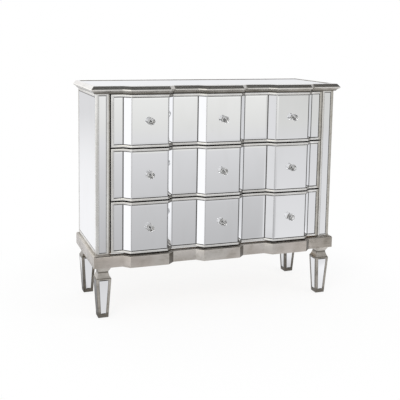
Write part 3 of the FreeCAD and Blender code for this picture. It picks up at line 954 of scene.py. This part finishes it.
def close_top(mesh):
    """Fill the moulding to a solid board and sink the mirror's pocket into it."""
    shape = bmesh.new()
    shape.from_mesh(mesh)
    points = list(shape.verts)
    count = len(section)
    rims = [points[::count], points[count - 1::count]]
    ends = [points[:count], points[-count:]]
    shape.faces.new(rims[0][::-1])
    shape.faces.new(ends[0][::-1] + ends[1])
    mirror_low, mirror_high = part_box("top_mirror")
    clearance = Vector((mirror_clearance, mirror_clearance, 0))
    low, high = mirror_low - clearance, mirror_high + clearance
    plan = [(low.x, low.y), (high.x, low.y), (high.x, high.y), (low.x, high.y)]
    floor = [shape.verts.new((x, y, mirror_low.z)) for x, y in plan]
    brim = [shape.verts.new((x, y, top_high.z)) for x, y in plan]
    shape.faces.new(floor)
    for k in range(4):
        shape.faces.new((floor[k - 1], floor[k], brim[k], brim[k - 1]))
    outlines = [shape.edges.get(pair) for pair in zip(rims[1], rims[1][1:])]
    outlines.append(shape.edges.get((rims[1][0], rims[1][-1])))
    outlines += [shape.edges.get((brim[k - 1], brim[k])) for k in range(4)]
    bmesh.ops.triangle_fill(shape, use_beauty=True, edges=outlines)
    bmesh.ops.recalc_face_normals(shape, faces=shape.faces)
    rubbed_and_highlight = shape.faces.layers.float.new("rubbed_and_highlight")
    underside_and_pocket_shade = shape.faces.layers.float.new("underside_and_pocket_shade")
    for face in shape.faces:
        centre = face.calc_center_median()
        in_width = low.x - pocket_margin < centre.x < high.x + pocket_margin
        in_depth = low.y - pocket_margin < centre.y < high.y + pocket_margin
        pocket_wall = in_width and in_depth and abs(face.normal.z) < pocket_wall_slope
        # Faces that look down and the walls of the mirror pocket get painted shade
        if face.normal.z < downward_slope or pocket_wall:
            face[underside_and_pocket_shade] = 1.0
        # The top's near-upright nose faces get a painted highlight
        elif abs(face.normal.z) < nose_slope:
            face[rubbed_and_highlight] = 1.0
    return shape, sum(not edge.is_manifold for edge in shape.edges)


top_shape, gaps = close_top(moulding)
top_mesh = as_mesh(top_shape, "top_board", smooth_below=20.0)
top = add_piece("moulded_top_board", top_mesh, top_leaf, "carcass", ["top_board"])
print(top.name, "has", len(top.data.polygons), "faces and", gaps, "open edges")

# %% [markdown]
# ## The knobs
# Every knob is the same cut crystal on a turned and plated foot, so a tree makes one from its sizes
# and sets it at three points. The crystal is the convex hull of level rings of points. A ring that
# is turned by half a step between two straight ones makes the kite facets of the cut.

# %% Knob trees
facet_count = 12
girdle_radius = 0.0145
girdle_height = 0.003
table_radius = 0.0075
foot_radius = 0.006
pavilion_radius = 0.78 * girdle_radius
crown_radius = 0.83 * girdle_radius
belly_share = 0.42
crown_share = 0.55


def ring_of_points(graph, radius, height, count, turn=0.0):
    """A level ring of points."""
    circle = graph.node("GeometryNodeMeshCircle", {}, {"Vertices": count, "Radius": radius}, "Mesh")
    place = graph.node("ShaderNodeCombineXYZ", {}, {"Z": height})
    settings = {"Geometry": circle, "Translation": place, "Rotation": (0.0, 0.0, turn)}
    return graph.node("GeometryNodeTransform", {}, settings)


def set_at_points(shape, points):
    """Stand copies of a shape out from the drawer front at the points."""
    graph = shape.graph
    sockets = {"Points": points, "Instance": shape, "Rotation": (math.pi / 2, 0.0, 0.0)}
    return graph.node("GeometryNodeInstanceOnPoints", {}, sockets)


def crystal_tree(material):
    """A round cut crystal with a table, from its foot to its face."""
    graph, points = new_tree("cut_crystal", [
        ("Foot Height", "NodeSocketFloat", 0.008),
        ("Projection", "NodeSocketFloat", 0.028),
        ("Facets", "NodeSocketInt", facet_count),
    ])
    foot = points.other("Foot Height")
    tip = points.other("Projection")
    count = points.other("Facets")
    belly = foot.toward(tip, belly_share)
    girdle_top = belly + girdle_height
    half_step = math.pi / facet_count
    rings = [
        ring_of_points(graph, foot_radius, foot, count),
        ring_of_points(graph, pavilion_radius, foot.toward(belly, 0.5), count, half_step),
        ring_of_points(graph, girdle_radius, belly, count),
        ring_of_points(graph, girdle_radius, girdle_top, count),
        ring_of_points(graph, crown_radius, girdle_top.toward(tip, crown_share), count, half_step),
        ring_of_points(graph, table_radius, tip, count),
    ]
    joined = graph.node("GeometryNodeJoinGeometry")
    for ring in rings:
        graph.tree.links.new(ring.socket, joined.socket.node.inputs["Geometry"])
    hull = graph.node("GeometryNodeConvexHull", {}, {"Geometry": joined})
    end_tree(set_at_points(hull, points), material)
    return graph


def foot_tree(material):
    """A turned foot: a cylinder whose radius follows its height, from a flat rose to a waisted stem."""
    graph, points = new_tree("turned_foot", [
        ("Rose Radius", "NodeSocketFloat", 0.010),
        ("Waist Radius", "NodeSocketFloat", 0.0046),
        ("Foot Height", "NodeSocketFloat", 0.008),
        ("Cup Depth", "NodeSocketFloat", 0.0004),
    ])
    foot = points.other("Foot Height") + points.other("Cup Depth")
    waist = points.other("Waist Radius")
    sockets = {"Vertices": 36, "Side Segments": 24, "Radius": 1.0, "Depth": foot}
    cylinder = graph.node("GeometryNodeMeshCylinder", {}, sockets, "Mesh")
    position = graph.node("GeometryNodeInputPosition", output="Position")
    height = graph.node("ShaderNodeSeparateXYZ", {}, {"Vector": position}, "Z") + foot * 0.5
    share = height / foot
    radius = waist.toward(points.other("Rose Radius"), share.between(0.16, 0.32, 1.0, 0.0))
    radius = radius.toward(foot_radius, share.between(0.55, 1.0))
    spread = graph.node("ShaderNodeCombineXYZ", {}, {"X": radius, "Y": radius})
    place = graph.node("ShaderNodeVectorMath", {"operation": "MULTIPLY"}, {0: position, 1: spread})
    raised = graph.node("ShaderNodeCombineXYZ", {}, {"Z": height})
    place = graph.node("ShaderNodeVectorMath", {"operation": "ADD"}, {0: place, 1: raised})
    shape = graph.node("GeometryNodeSetPosition", {}, {"Geometry": cylinder, "Position": place})
    end_tree(set_at_points(shape, points), material)
    return graph


print("knob trees ready")

# %% Knobs on the three drawers
trees = (
    ("knob_crystals", crystal_tree(crystal), crystal, "crystal", 1.0),
    ("knob_bases", foot_tree(plating), plating, "knob_metal", 40.0),
)
for drawer in drawers:
    low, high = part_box(drawer + "_knob_bases")
    rose_radius = (high.z - low.z) / 2
    far = high.x - rose_radius
    places = [(x, high.y, (low.z + high.z) / 2) for x in (-far, 0, far)]
    projection = high.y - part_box(drawer + "_knob_crystals")[0].y
    sizes = {"Foot Height": high.y - low.y, "Projection": projection, "Rose Radius": rose_radius}
    for label, tree, material, slot, smooth_below in trees:
        node = drawer + "_" + label
        mesh = grow(node, tree, places, values=sizes)
        mesh.shade_smooth()
        mesh.set_sharp_from_angle(angle=math.radians(smooth_below))
        piece = add_piece("cut_" + node, mesh, material, drawer, [node])
        print(piece.name, len(mesh.polygons), "faces")

# %% Small fittings that keep their construction shape
fittings = {"leg_bolts": steel, "foot_glides": nylon}
for drawer in drawers:
    fittings[drawer + "_knob_screws"] = steel
for node, material in fittings.items():
    nodes[node].data.materials.clear()
    nodes[node].data.materials.append(material)
print("finishes assigned to", len(fittings), "nodes")

# %% [markdown]
# ## The studio
# Mirror shows the room more than itself, so the room is part of the finish. The floor and the
# backdrop are white where the camera looks at them directly. Reflections see a studio instead: a
# pale floor that darkens towards the chest with painted shadow, also at the near right, and lightens
# again at its foot, with other tones at the left and right, a bright band painted on each side that
# stands for a screen, and a dark strip beside the chest. The walls are light but darken at the far
# right, a screen lights the left, and the ceiling is dark in front and lighter behind. Crystal sees a
# dark front instead, which gives its facets contrast. Everything else is lit by one plain level and
# two soft lamps.

# %% Floor
near_shadow_tone = 0.53
far_tone = 0.90
foot_tone = 0.76
right_tone = 0.69
left_tone = 0.77
painted_screen_tone = 1.06
strip_tone = 0.25
near_right_shadow_tone = 0.58
behind_tones = (0.96, 0.74)
paint = (0.93, 0.93, 0.93, 1.0)
floor_radius = 60.0
floor_drop = 0.0003


def seen_directly(graph):
    """1 for what the camera sees itself, and 1 for what it sees in metal or through crystal."""
    camera = graph.node("ShaderNodeLightPath", output="Is Camera Ray")
    mirrored = camera.math("MAXIMUM", camera.other("Is Glossy Ray"), camera.other("Is Transmission Ray"))
    return camera, mirrored


def times(colour, level):
    """A colour at a level."""
    return level.graph.node("ShaderNodeVectorMath", {"operation": "SCALE"}, {0: colour, "Scale": level})


def fading(distance, length):
    """1 at a distance of one metre, and less beyond it by a factor e for each length."""
    return distance.math("EXPONENT", (1.0 - distance) / length)


def floor_tone(x, y):
    """How light the floor looks in a mirror, by its place round the chest, with painted shadow near it and
    painted bright bands for screens.
    """
    ahead = -y
    reach = x.math("SQRT", x * x + y * y)
    # The floor's mirror tone dips as painted shadow of the chest
    front = near_shadow_tone + (far_tone - near_shadow_tone) * (1.0 - fading(ahead, 4.0))
    front = front.math("MAXIMUM", front, ahead.between(0.2, 1.0, foot_tone, near_shadow_tone))
    right = right_tone + 0.1 * fading(ahead.math("MAXIMUM", ahead, 0.0), 2.5)
    tone = front.toward(right, (x - 0.13 - ahead * 0.49).between(-0.06, 0.06))
    tone = tone.toward(left_tone, (-x - 0.3 - ahead * 0.25).between(0.0, 0.4))
    # Bright bands painted into the floor's mirror tone stand for screens
    left_screen = (y + 0.20 - x * 0.436).between(-0.04, 0.04) * (-x).between(0.6, 0.9)
    right_screen = (y + 0.158 + x * 0.3785).between(-0.03, 0.03) * x.between(0.45, 0.75)
    right_screen = right_screen * y.between(0.0, 0.6, 1.0, 0.0)
    tone = tone.toward(painted_screen_tone, left_screen.math("MAXIMUM", left_screen, right_screen))
    strip = (-x).within((0.46, 0.50), (0.58, 0.68)) * y.within((-0.20, -0.10), (0.4, 0.6))
    tone = tone.toward(strip_tone, strip)
    # Painted shadow of the chest on the floor at the near right
    near_right_shadow = x.within((0.3, 0.5), (0.5, 1.8)) * y.between(-0.05, 0.2)
    tone = tone.toward(near_right_shadow_tone, near_right_shadow)
    wide = x.math("ABSOLUTE", x)
    behind = y.between(0.1, 0.8) * (1.0 - wide.between(4.0, 9.0)) * (-x).between(-0.3, 0.3)
    return tone.toward(reach.between(1.4, 8.0, *behind_tones), behind)


def make_floor():
    """White to the camera with a faint shadow near the chest, and toned for mirror and crystal."""
    material, graph, place = new_finish("studio_floor")
    camera, mirrored = seen_directly(graph)
    x = graph.node("ShaderNodeSeparateXYZ", {}, {"Vector": place}, "X")
    y = x.other("Y")
    reach = x.math("SQRT", x * x + y * y)
    tint = mixed((-y).between(4.0, 6.0), (0.995, 0.995, 1.01), (1.0, 1.0, 0.98))
    seen = mixed(camera, times(tint, floor_tone(x, y)), (1.0, 1.0, 1.0))
    shown = graph.node("ShaderNodeEmission", {}, {"Color": seen})
    lit = graph.node("ShaderNodeBsdfDiffuse", {}, {"Color": paint})
    share = camera.math("MAXIMUM", camera * reach.between(0.7, 1.1, 0.85, 1.0), mirrored)
    floor = graph.node("ShaderNodeMixShader", {}, {0: share, 1: lit, 2: shown})
    graph.node("ShaderNodeOutputMaterial", {}, {"Surface": floor})
    return material


def make_disc(name, radius, z, material):
    """A level round sheet."""
    shape = bmesh.new()
    place = Matrix.Translation((0, 0, z))
    bmesh.ops.create_circle(shape, cap_ends=True, segments=96, radius=radius, matrix=place)
    mesh = bpy.data.meshes.new(name)
    shape.to_mesh(mesh)
    shape.free()
    mesh.materials.append(material)
    sheet = bpy.data.objects.new(name, mesh)
    bpy.context.scene.collection.objects.link(sheet)
    sheet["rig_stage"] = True
    return sheet


floor = make_disc("studio_floor", floor_radius, -floor_drop, make_floor())
print(floor.name, "laid")

# %% Room
plain_level = 0.84
left_wall_tone = 0.98
right_wall_tone = 0.86
far_right_tone = 0.38
crystal_front_tone = 0.08
front_ceiling_tone = 0.06
back_ceiling_gain = 0.62
screen_level = 1.35

world = bpy.data.worlds.new("studio")
bpy.context.scene.world = world
world.use_nodes = True
room = Graph(world.node_tree)
camera_sees, mirror_sees = seen_directly(room)
look = room.node("ShaderNodeTexCoord", output="Generated")
look_x = room.node("ShaderNodeSeparateXYZ", {}, {"Vector": look}, "X")
look_y = look_x.other("Y")
look_z = look_x.other("Z")
wall = look_x.between(0.0, 0.4, left_wall_tone, right_wall_tone)
wall = wall.toward(far_right_tone, look_x.between(0.6, 0.85))
through_crystal = camera_sees.other("Is Transmission Ray")
wall = wall.toward(crystal_front_tone, (-look_y).between(0.2, 0.6) * through_crystal)
behind_and_above = look_y.between(0.3, 0.55) * (1.0 - through_crystal)
ceiling = front_ceiling_tone + back_ceiling_gain * behind_and_above
studio = wall.toward(ceiling, look_z.between(0.28, 0.85))
left_screen = (-look_x).between(0.08, 0.25) * look_z.between(0.45, 0.80, 1.0, 0.0)
studio = studio.toward(screen_level, left_screen)
tint = mixed(left_screen, (0.99, 0.995, 1.02), (1.0, 0.99, 0.955))
plain = mixed(mirror_sees, (plain_level, plain_level, plain_level), times(tint, studio))
backdrop = room.node("ShaderNodeBackground", {}, {"Color": mixed(camera_sees, plain, (1.0, 1.0, 1.0))})
room.node("ShaderNodeOutputWorld", {}, {"Surface": backdrop})
print("room set")

# %% Lamps


def soft_lamp(name, place, target, size, power):
    """A square soft lamp that points at a target and isn't itself seen in the mirrors."""
    data = bpy.data.lights.new(name, "AREA")
    data.size = size
    data.energy = power
    lamp = bpy.data.objects.new(name, data)
    bpy.context.scene.collection.objects.link(lamp)
    lamp.location = place
    lamp.rotation_euler = (Vector(target) - Vector(place)).to_track_quat("-Z", "Y").to_euler()
    lamp.visible_glossy = False
    return lamp


soft_lamp("key_lamp", (-2.4, -2.6, 2.8), (0, 0, 0.5), 1.8, 50)
soft_lamp("fill_lamp", (2.6, -2.2, 2.0), (0, 0, 0.5), 1.8, 20)
print("two lamps placed")

# %% [markdown]
# ## The camera
# The picture was taken from in front and to the left, a little above the top. The camera's place and
# its turns were found from the corners of the chest, and a lens shift puts the chest where it stands
# in the picture without tilting the camera more.

# %% Camera
camera_place = Vector((-1.0574, -2.7598, 1.0989))
camera_yaw = 0.3326
camera_pitch = 0.1246
camera_roll = 0.0135
lens_length = 64.26
sensor_width = 36.0
shift_across = 0.0396
shift_up = -0.19

ahead = Vector((
    math.sin(camera_yaw) * math.cos(camera_pitch),
    math.cos(camera_yaw) * math.cos(camera_pitch),
    -math.sin(camera_pitch),
))
level_right = Vector((math.cos(camera_yaw), -math.sin(camera_yaw), 0))
level_up = level_right.cross(ahead)
right = level_right * math.cos(camera_roll) + level_up * math.sin(camera_roll)
up = level_up * math.cos(camera_roll) - level_right * math.sin(camera_roll)
data = bpy.data.cameras.new("camera")
data.lens = lens_length
data.sensor_width = sensor_width
data.shift_x = shift_across
data.shift_y = shift_up
camera = bpy.data.objects.new("camera", data)
bpy.context.scene.collection.objects.link(camera)
turned = Matrix((right, up, -ahead)).transposed().to_4x4()
camera.matrix_world = Matrix.Translation(camera_place) @ turned
bpy.context.scene.camera = camera
bpy.context.scene.view_settings.view_transform = "Standard"
print("camera looks along", [round(v, 3) for v in ahead])

# %% Measure and finish
sizes = {"construction": construction_box, "dressed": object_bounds()}
